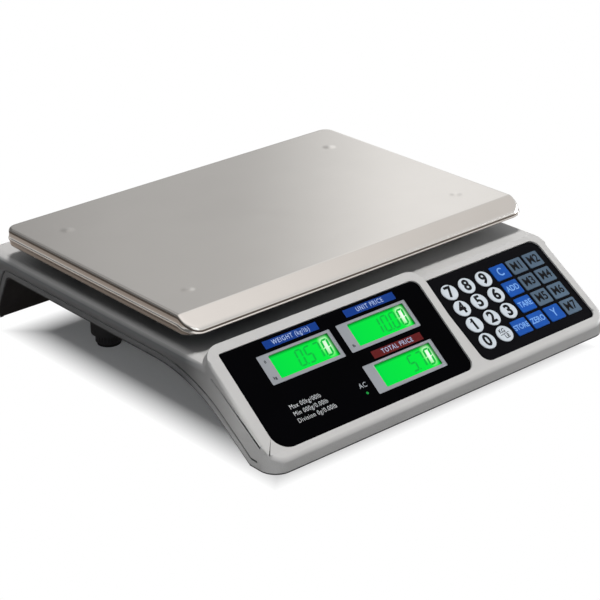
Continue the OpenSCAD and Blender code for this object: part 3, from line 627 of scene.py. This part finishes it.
def pan_mesh():
    """Top with its bevel and rounded edge, then the skirt with its bead and turned hem.
    The edge between top and skirt has the second material, a darker steel that paints in shade along the
    rounded edge."""
    bm = bmesh.new()
    insets = [30, 20, 17, 16, 15.5, 15, 14.5, 14, 13.5, 13, 11, 8, 5, 3]
    insets += [2.3, 1.7, 1.2, 0.8, 0.5, 0.25, 0.08, 0.0]
    edge = 2.6
    rings = []
    for d in insets:
        ring = []
        for x, y in pan_outline(d):
            drop = bevel_drop(y - PAN_Y0)
            if d < edge:
                drop += edge - math.sqrt(edge ** 2 - (edge - d) ** 2)
            ring.append(bm.verts.new((x, y, PAN_TOP - drop)))
        rings.append(ring)
    top_rings = len(rings)
    heights = [v.co.z for v in rings[-1]]
    # (bulge on the sides, bulge at the front, share of the way down)
    skirt = [
        (0.0, 0.0, 0.04), (0.0, 0.35, 0.16), (0.0, 0.8, 0.30), (0.25, 1.0, 0.38), (0.62, 1.1, 0.44),
        (0.75, 1.1, 0.50), (0.62, 1.0, 0.56), (0.2, 0.9, 0.62), (0.0, 0.7, 0.68), (0.0, 0.4, 0.84),
        (-0.15, 0.0, 0.91), (-0.5, -0.5, 0.97), (-1.0, -1.0, 1.0), (-1.5, -1.5, 0.98),
        (-1.9, -1.9, 0.9), (-2.0, -2.0, 0.75), (-1.2, -1.2, 0.6),
    ]
    for side_out, front_out, f in skirt:
        ring = []
        for (x, y), top, (bx, by) in zip(pan_outline(0), heights, pan_outline(1)):
            front = min(1.0, max(0.0, (PAN_Y0 + 12 - y) / 11))
            out = side_out + (front_out - side_out) * front
            low = 85.8 + 2.0 * front
            ring.append(bm.verts.new((x + (x - bx) * out, y + (y - by) * out, top + (low - top) * f)))
        rings.append(ring)
    bm.faces.new(rings[0])
    for k, (a, b) in enumerate(zip(rings, rings[1:])):
        for i in range(len(a)):
            j = (i + 1) % len(a)
            face = bm.faces.new((a[i], a[j], b[j], b[i]))
            face.material_index = 1 if top_rings - 3 <= k < top_rings else 0
    bmesh.ops.remove_doubles(bm, verts=bm.verts, dist=0.003)
    bmesh.ops.recalc_face_normals(bm, faces=bm.faces)
    under = bmesh.ops.duplicate(bm, geom=bm.faces[:] + bm.edges[:] + bm.verts[:])
    lower = [v for v in under["geom"] if isinstance(v, bmesh.types.BMVert)]
    middle, half = (PAN_Y0 + PAN_Y1) / 2, (PAN_Y1 - PAN_Y0) / 2
    for v in lower:
        v.co.z -= PAN_WALL
        v.co.x *= (PAN_X - PAN_WALL) / PAN_X
        v.co.y = middle + (v.co.y - middle) * (half - PAN_WALL) / half
    bmesh.ops.reverse_faces(bm, faces=[f for f in under["geom"] if isinstance(f, bmesh.types.BMFace)])
    mesh = bpy.data.meshes.new("pan")
    bm.to_mesh(mesh)
    bm.free()
    return mesh


ROW = Matrix.Scale(MM, 4)
pan = Piece("stainless_pan")
pan.add(pan_mesh(), ROW, (STEEL, EDGE_SHADE_STEEL))
shares = [k / 12 for k in range(13)]
bump = [(BUMP_R * (1 - t), BUMP_HIGH * (0.5 - 0.5 * math.cos(math.pi * t)) + 0.004) for t in shares]
for px in (-BUMP_X, BUMP_X):
    for py in BUMP_Y:
        pan.add(lathe_mesh(bump, 40), ROW @ Matrix.Translation((px, py, PAN_TOP)), STEEL)
pan.done("pan_lift", "pan_steel", ("pan",), 38)


# ---------------------------------------------------------------- liquid crystal displays
SEGMENTS = {
    "0": "abcdef", "1": "bc", "2": "abged", "3": "abgcd", "4": "fgbc", "5": "afgcd",
    "6": "afgedc", "7": "abc", "8": "abcdefg", "9": "abcfgd",
}


def segment_outline(a, b, half):
    """Bar from a to b with pointed ends."""
    ax, ay = a
    bx, by = b
    length = math.hypot(bx - ax, by - ay)
    ux, uy = (bx - ax) / length, (by - ay) / length
    px, py = -uy * half, ux * half
    gap = 0.22
    ax, ay, bx, by = ax + ux * gap, ay + uy * gap, bx - ux * gap, by - uy * gap
    return [
        (ax, ay), (ax + ux * half - px, ay + uy * half - py), (bx - ux * half - px, by - uy * half - py),
        (bx, by), (bx - ux * half + px, by - uy * half + py), (ax + ux * half + px, ay + uy * half + py),
    ]


def digit_loops(char, x, y, w, h, half, slant=0.09):
    """Outlines of one digit's lit bars, with the lower left corner at x, y."""
    c = {
        "a": ((0, h), (w, h)), "b": ((w, h), (w, h / 2)), "c": ((w, h / 2), (w, 0)),
        "d": ((0, 0), (w, 0)), "e": ((0, 0), (0, h / 2)), "f": ((0, h / 2), (0, h)),
        "g": ((0, h / 2), (w, h / 2)),
    }
    loops = []
    for name in SEGMENTS.get(char, ""):
        bar = segment_outline(*c[name], half)
        loops.append([(x + px + slant * py, y + py) for px, py in bar])
    return loops


def flat_mesh(loops, z):
    """Filled outlines at height z."""
    bm = bmesh.new()
    for loop in loops:
        bm.faces.new([bm.verts.new((px, py, z)) for px, py in loop])
    bmesh.ops.recalc_face_normals(bm, faces=bm.faces)
    for f in bm.faces:
        if f.normal.z < 0:
            f.normal_flip()
    mesh = bpy.data.meshes.new("flat")
    bm.to_mesh(mesh)
    bm.free()
    return mesh


def reading_loops(text, right, y, w, h, pitch, half):
    """Bars of a reading set against its right edge, with a dot for the decimal point."""
    loops = []
    x = right - w
    for char in reversed(text):
        if char == ".":
            dx = x + pitch - (pitch - w) / 2 - 0.1
            loops.append(circle_outline(dx, y, 0.55, 12))
            continue
        loops += digit_loops(char, x, y, w, h, half)
        x -= pitch
    return loops


def display_module(name, matrix, x, y, reading, top, marks=()):
    """Bezel, backlit glass and reading of one module. top is the height of the bezel's face, and marks
    holds (words, share of the height) for the small print at the bezel's left."""
    x0, x1, y0, y1 = x - MODULE_W / 2, x + MODULE_W / 2, y - MODULE_H / 2, y + MODULE_H / 2
    gx0, gx1, gy0, gy1 = x0 + LEFT_FACE, x1 - 3.3, y0 + 2.9, y1 - 2.3
    bezel = Piece(name + "_bezel")
    outer = arc_outline(x0, x1, y0, y1, [0.8] * 4, 3)
    inner = arc_outline(gx0, gx1, gy0, gy1, [0.5] * 4, 3)
    bezel.add(plate_mesh([outer, inner], top - 2.0, top, 0.25), matrix, BEZEL)
    for words, share in marks:
        bezel.add(text_mesh(words, 3.2, 0.04, 0.08), matrix @ Matrix.Translation(
            (x0 + LEFT_FACE / 2, y0 + MODULE_H * share, top + 0.02)), BLACK_INK)
    bezel.done("body", "lcd_glass", (), 30)
    glass = bpy.data.meshes.new(name + "_glass")
    gz = top - 1.5
    under = 0.5
    left, right, low, high = gx0 - under, gx1 + under, gy0 - under, gy1 + under
    corners = [(left, low, gz), (right, low, gz), (right, high, gz), (left, high, gz)]
    glass.from_pydata(corners, [], [(0, 1, 2, 3)])
    uv = glass.uv_layers.new(name="UV")
    for i, co in enumerate(((0, 0), (1, 0), (1, 1), (0, 1))):
        uv.data[i].uv = co
    glass.transform(matrix)
    glass.materials.append(GREEN)
    obj = bpy.data.objects.new(name + "_glass", glass)
    bpy.context.scene.collection.objects.link(obj)
    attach(obj, "body")
    dw, dh, pitch = 4.9, 12.6, 8.3
    base_y = (gy0 + gy1) / 2 - dh / 2
    loops = reading_loops(reading, gx1 - 3.6, base_y, dw, dh, pitch, 0.55)
    Piece(name + "_reading").add(flat_mesh(loops, gz + 0.12), matrix, SEGMENT).done("body", "lcd_glass")
    loops = reading_loops(reading, gx1 - 4.3, base_y - 0.4, dw, dh, pitch, 0.55)
    Piece(name + "_shadow").add(flat_mesh(loops, gz + 0.05), matrix, SHADOW).done("body", "lcd_glass")


LABELS = ["weight", "unit_price", "total_price"]
MARKS = [(("0", 0.76), ("kg", 0.2)), (("lb", 0.2),), ()]
for label, front, rear, reading, marks in zip(LABELS, LCDS, REAR_LCDS, READINGS, MARKS):
    display_module("display_" + label, DISPLAY, *front, reading, -0.35, marks)
    display_module("rear_" + label, REAR, *rear, reading, -0.9, marks)


# ---------------------------------------------------------------- operator's window
def module_holes(centres):
    """An opening for each module, a little larger than its bezel."""
    w, h = MODULE_W / 2 + 0.12, MODULE_H / 2 + 0.12
    return [arc_outline(x - w, x + w, y - h, y + h, [0.9] * 4, 3) for x, y in centres]


STRIPS = [(-121.5, -71.8, 73.2, 79.6, BLUE_STRIP, "WEIGHT (kg/lb)"),
          (-45.5, 3.6, 73.5, 79.8, BLUE_STRIP, "UNIT PRICE"),
          (-44.5, 4.2, 36.3, 42.6, RED_STRIP, "TOTAL PRICE")]
LAMP_AT = (-67, 15)
window = Piece("display_window_sheet")
sheet = [arc_outline(*WINDOW, [13.7, 7.7, 6.7, 1.7], 14)] + module_holes(LCDS)
sheet.append(circle_outline(*LAMP_AT, 1.15, 24))
window.add(plate_mesh(sheet, -2.0, 0.0, 0.18), DISPLAY, WINDOW_BLACK)
for x0, x1, y0, y1, colour, words in STRIPS:
    window.add(plate_mesh([arc_outline(x0, x1, y0, y1, [0.2] * 4, 2)], 0.0, 0.05), DISPLAY, colour)
    window.add(text_mesh(words, 5.3, 0.03, 0.05, 0.80, 1.22),
               DISPLAY @ Matrix.Translation(((x0 + x1) / 2, (y0 + y1) / 2, 0.07)), STRIP_INK)
above_lamp = DISPLAY @ Matrix.Translation((LAMP_AT[0], LAMP_AT[1] + 6.3, 0.03))
window.add(text_mesh("AC", 5.6, 0.03, 0.02, 0.9, 1.1), above_lamp, WHITE_INK)
for row, words in enumerate(("Max 00kg/00lb", "Min 000g/0.00lb", "Division 0g/0.00lb")):
    window.add(text_mesh(words, 5.0, 0.03, -0.02, 0.86, 1.12, "LEFT"),
               DISPLAY @ Matrix.Translation((-131.5, 27.0 - 5.7 * row, 0.03)), FINE_INK)
window.done("body", "window_acrylic", ("display_window",), 30)
lens = [(0, 0.12), (0.5, 0.08), (0.85, -0.05), (1.05, -0.3), (1.05, -3.2), (1.45, -3.2)]
lens += [(1.45, -5.6), (0, -5.6)]
lamp_lens = Piece("charge_lamp_lens")
lamp_lens.add(lathe_mesh(lens, 32), DISPLAY @ Matrix.Translation((*LAMP_AT, 0)), LAMP)
lamp_lens.done("body", "lamp_lens", ("charge_lamp",), 40)

rear = Piece("rear_window_sheet")
sheet = [arc_outline(-115.7, 115.7, 28.3, 63.7, [2.7] * 4, 6)] + module_holes(REAR_LCDS)
rear.add(plate_mesh(sheet, -1.8, -0.2, 0.15), REAR, WINDOW_BLACK)
REAR_WORDS = [("WEIGHT", BLUE_STRIP), ("UNIT PRICE", BLUE_STRIP), ("TOTAL PRICE", RED_STRIP)]
for (x, y), (words, colour) in zip(REAR_LCDS, REAR_WORDS):
    strip = arc_outline(x - 18, x + 18, 59.2, 62.6, [0.2] * 4, 2)
    rear.add(plate_mesh([strip], -0.2, -0.15), REAR, colour)
    on_strip = REAR @ Matrix.Translation((x, 60.9, -0.13))
    rear.add(text_mesh(words, 3.0, 0.03, 0.02, 0.95, 1.05), on_strip, WHITE_INK)
rear.done("body", "window_acrylic", ("rear_window",), 30)


# ---------------------------------------------------------------- keys
def is_round(column, row):
    return column < 3 and not (column == 2 and row == 3)


for row, names in enumerate(KEYS):
    for column, label in enumerate(names):
        x, y = KEY_X + column * PITCH_X, KEY_S - row * PITCH_S
        node = "key_" + label
        at = KEYPAD @ Matrix.Translation((x, y, 0))
        key = Piece("keycap_" + label)
        if is_round(column, row):
            outline, cap, legend = circle_outline(0, 0, ROUND_R), KEY_GREY, BLACK_INK
            flange = circle_outline(0, 0, ROUND_R + 0.75)
        else:
            hw, hh = KEY_W / 2, KEY_H / 2
            outline = arc_outline(-hw, hw, -hh, hh, [1.0] * 4, 4)
            flange = arc_outline(-hw - 0.9, hw + 0.9, -hh - 0.9, hh + 0.9, [1.6] * 4, 4)
            cap, legend = (KEY_SLATE, BLACK_INK) if label[0] == "m" else (KEY_BLUE, KEY_INK)
        key.add(plate_mesh([outline], -1.85, PROUD, 0.22), at, cap)
        key.add(plate_mesh([flange], -2.6, -1.8), at, cap)
        key.add(lathe_mesh([(0, -2.5), (2.2, -2.5), (2.2, -3.9), (2.1, -4.0), (0, -4.0)], 24), at, cap)
        up = at @ Matrix.Translation((0, 0, PROUD + 0.02))
        if label == "unit":
            for words, side in (("KG", 1), ("LB", -1)):
                key.add(text_mesh(words, 5.2, 0.03, 0.10, 0.85),
                        up @ Matrix.Translation((-0.9 * side, 2.7 * side, 0)), legend)
            key.add(box_mesh(-4.4, 4.4, -0.25, 0.25, -0.015, 0.015),
                    up @ Matrix.Rotation(0.12, 4, "Z"), legend)
        elif is_round(column, row):
            key.add(text_mesh(label, 13.6, 0.03, 0.50, 0.96), up, legend)
            if label == "1":
                flag = [(-2.5, 1.9), (-2.5, 3.0), (-0.2, 5.0), (0.3, 5.0), (0.3, 3.9)]
                key.add(plate_mesh([flag], -0.015, 0.015), up, legend)
        else:
            words = LEGENDS.get(label, label.upper())
            size = {1: 10.4, 2: 10.6, 3: 7.4, 4: 7.2, 5: 6.6}[len(words)]
            bold, squeeze = (0.24, 0.86) if label[0] == "m" else (0.12, 0.80)
            key.add(text_mesh(words, size, 0.03, bold, squeeze), up, legend)
        key.done(node + "_cap", NODE_SLOT[node], (node,), 30)


# ---------------------------------------------------------------- floor, light and camera
def make_floor():
    mesh = bpy.data.meshes.new("floor")
    s = 6.0
    mesh.from_pydata([(-s, -s, 0), (s, -s, 0), (s, s, 0), (-s, s, 0)], [], [(0, 1, 2, 3)])
    floor = bpy.data.objects.new("floor", mesh)
    bpy.context.scene.collection.objects.link(floor)
    m, n = new_material("floor_white")
    p = principled(n, Roughness=0.9, Specular_IOR_Level=0.0)
    path = n.add("ShaderNodeLightPath")
    seen_white, lit_grey = (0.92, 0.92, 0.92, 1), (0.55, 0.55, 0.55, 1)
    n.link(n.mix(path.outputs["Is Diffuse Ray"], seen_white, lit_grey), p.inputs["Base Color"])
    # Painted reflection: glossy rays alone see the table dark brown beside the scale and pale further
    # off, so the steel mirrors darker bands.
    place = n.add("ShaderNodeNewGeometry")
    split = n.add("ShaderNodeSeparateXYZ")
    n.link(place.outputs["Position"], split.inputs[0])
    away = n.maths("MAXIMUM", n.maths("SUBTRACT", n.maths("ABSOLUTE", split.outputs["X"]), 0.17),
                   n.maths("SUBTRACT", n.maths("ABSOLUTE", split.outputs["Y"]), 0.18))
    near = n.mix(n.span(away, 0.02, 0.13, 0, 1), (0.07, 0.055, 0.045, 1), (0.34, 0.295, 0.265, 1))
    painted_glow = n.add("ShaderNodeEmission")
    n.link(n.mix(n.span(away, 0.14, 0.8, 0, 1), near, (0.75, 0.75, 0.75, 1)), painted_glow.inputs["Color"])
    mix = n.add("ShaderNodeMixShader")
    n.link(path.outputs["Is Glossy Ray"], mix.inputs[0])
    n.link(p.outputs[0], mix.inputs[1])
    n.link(painted_glow.outputs[0], mix.inputs[2])
    # Seen directly, the table is burnt out to white except under the scale.
    white = n.add("ShaderNodeEmission")
    clear = n.maths("MULTIPLY", n.span(away, -0.036, -0.005, 0.0, 1.0), path.outputs["Is Camera Ray"])
    seen = n.add("ShaderNodeMixShader")
    n.link(clear, seen.inputs[0])
    n.link(mix.outputs[0], seen.inputs[1])
    n.link(white.outputs[0], seen.inputs[2])
    # From below, the table is left out so that the underside can be seen.
    below = n.add("ShaderNodeMixShader")
    n.link(place.outputs["Backfacing"], below.inputs[0])
    n.link(seen.outputs[0], below.inputs[1])
    n.link(n.add("ShaderNodeBsdfTransparent").outputs[0], below.inputs[2])
    n.link(below.outputs[0], n.out.inputs["Surface"])
    mesh.materials.append(m)


def area_light(name, location, target, size, power, colour, mirrored=True):
    light = bpy.data.lights.new(name, "AREA")
    light.energy, light.color, light.size = power, colour, size
    obj = bpy.data.objects.new(name, light)
    bpy.context.scene.collection.objects.link(obj)
    obj.location = location
    obj.rotation_mode = "QUATERNION"
    obj.rotation_quaternion = (Vector(target) - Vector(location)).to_track_quat("-Z", "Y")
    obj.visible_glossy = mirrored


def make_world():
    world = bpy.data.worlds.new("studio")
    bpy.context.scene.world = world
    world.use_nodes = True
    t = world.node_tree
    t.nodes.clear()
    n = Nodes.__new__(Nodes)
    n.tree = t
    out = n.add("ShaderNodeOutputWorld")
    coord = n.add("ShaderNodeTexCoord")
    split = n.add("ShaderNodeSeparateXYZ")
    n.link(coord.outputs["Generated"], split.inputs[0])
    azimuth = n.maths("ARCTAN2", split.outputs["X"], split.outputs["Y"])
    side = n.span(azimuth, math.radians(38.5), math.radians(43), 0.52, 1.0)
    side = n.maths("MULTIPLY", side, n.span(azimuth, math.radians(29), math.radians(34), 0.7, 1.0))
    side = n.maths("MULTIPLY", side, n.span(azimuth, math.radians(15), math.radians(27), 0.45, 1.0))
    side = n.maths("MULTIPLY", side, n.span(azimuth, math.radians(46), math.radians(50), 1.0, 0.75))
    high = n.span(split.outputs["Z"], 0.55, 0.9, 0.0, 1.0)
    right = n.span(split.outputs["X"], 0.54, 0.67, 0, 1)
    above = n.mix(right, (1.05, 1.02, 1.01, 1), (0.67, 0.635, 0.61, 1))
    colour = n.mix(high, n.mix(side, (0.0, 0.0, 0.0, 1), (1, 1, 1, 1)), above)
    studio = n.add("ShaderNodeBackground")
    n.link(colour, studio.inputs["Color"])
    plain = n.add("ShaderNodeBackground")
    from_left = n.span(split.outputs["X"], -1, 1, 0, 1)
    n.link(n.mix(from_left, (0.7, 0.7, 0.71, 1), (1, 1, 1, 1)), plain.inputs["Color"])
    plain.inputs["Strength"].default_value = 0.26
    path = n.add("ShaderNodeLightPath")
    mix = n.add("ShaderNodeMixShader")
    n.link(path.outputs["Is Glossy Ray"], mix.inputs[0])
    n.link(plain.outputs[0], mix.inputs[1])
    n.link(studio.outputs[0], mix.inputs[2])
    show = n.add("ShaderNodeBackground")
    mix2 = n.add("ShaderNodeMixShader")
    n.link(path.outputs["Is Camera Ray"], mix2.inputs[0])
    n.link(mix.outputs[0], mix2.inputs[1])
    n.link(show.outputs[0], mix2.inputs[2])
    show.inputs["Color"].default_value = (1, 1, 1, 1)
    show.inputs["Strength"].default_value = 1.0
    n.link(mix2.outputs[0], out.inputs["Surface"])


def make_camera():
    az, el, roll, distance = (math.radians(-39.8), math.radians(24.55), math.radians(-1.47), 1461.06)
    target = Vector((-18.18, -31.32, 50.0))
    back = Vector((math.sin(az) * math.cos(el), -math.cos(az) * math.cos(el), math.sin(el)))
    right = Vector((math.cos(az), math.sin(az), 0))
    up = back.cross(right)
    r2 = right * math.cos(roll) + up * math.sin(roll)
    u2 = -right * math.sin(roll) + up * math.cos(roll)
    data = bpy.data.cameras.new("photo_camera")
    data.sensor_width, data.lens = 36.0, 113.6
    data.clip_start, data.clip_end = 0.05, 50
    cam = bpy.data.objects.new("photo_camera", data)
    bpy.context.scene.collection.objects.link(cam)
    place = (target + back * distance) * MM
    cam.matrix_world = Matrix((
        (r2.x, u2.x, back.x, place.x), (r2.y, u2.y, back.y, place.y),
        (r2.z, u2.z, back.z, place.z), (0, 0, 0, 1)))
    bpy.context.scene.camera = cam


make_floor()
make_world()
make_camera()
WARM, COOL, COOLER = (1.0, 0.995, 0.985), (0.95, 0.98, 1.0), (0.93, 0.97, 1.0)
area_light("overhead_light", (0.03, -0.05, 2.4), (0, 0, 0.05), 0.5, 92, WARM, mirrored=False)
area_light("front_light", (-0.5, -2.2, 1.3), (0, -0.05, 0.04), 1.4, 6, COOLER)
area_light("side_light", (1.6, -0.5, 0.33), (0.1, 0, 0.07), 0.8, 16, COOL)
area_light("left_light", (-2.0, -1.0, 0.5), (-0.1, 0, 0.05), 0.9, 18, COOL, mirrored=False)
bpy.context.scene.view_settings.view_transform = "Standard"
bpy.context.scene.view_settings.look = "None"
